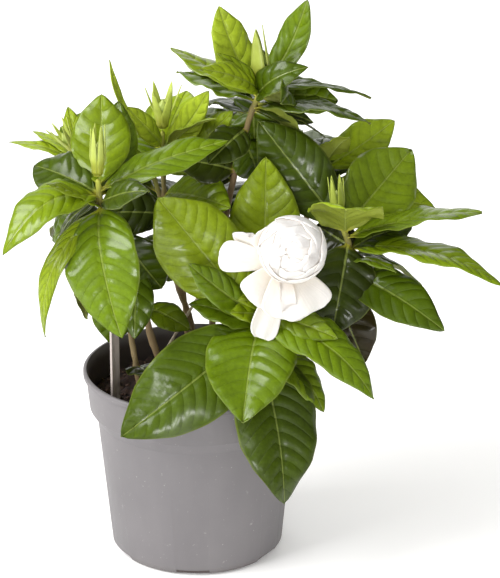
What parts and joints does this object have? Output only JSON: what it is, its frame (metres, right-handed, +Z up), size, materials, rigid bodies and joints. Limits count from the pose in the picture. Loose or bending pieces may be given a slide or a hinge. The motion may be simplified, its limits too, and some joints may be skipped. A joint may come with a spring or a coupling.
{
  "type": "potted gardenia",
  "caption": "Young gardenia shrub in a plastic nursery pot: glossy leaves on woody stems, green pointed buds and an open white double flower.",
  "frame": {"origin": "middle of the pot's underside, where the pot stands", "axes": "+Z up along the pot's axis; the open flower faces -Y; +X to the right as seen from the flower's side"},
  "size_m": [0.2802, 0.2284, 0.32],
  "materials": {
    "pot": "matte",
    "soil": "matte",
    "label": "satin",
    "cane": "matte",
    "foliage": "gloss",
    "bud": "satin",
    "petal": "satin"
  },
  "bodies": {
    "root": {"pot": "pot", "soil": "soil", "plant_label": "label", "thin_cane": "cane", "leafy_stem_left": "foliage", "leafy_stem_low_left": "foliage", "leafy_stem_far_left": "foliage", "leafy_stem_middle": "foliage", "leafy_stem_top": "foliage", "leafy_stem_bloom": "foliage", "leafy_stem_right": "foliage", "leafy_stem_right_back": "foliage", "leafy_stem_back_left": "foliage", "leafy_stem_back_right": "foliage", "flower_bud_left": "bud", "flower_bud_far_left": "bud", "flower_bud_middle": "bud", "flower_bud_top": "bud", "flower_bud_right": "bud", "bloom": "petal"}
  },
  "joints": []
}
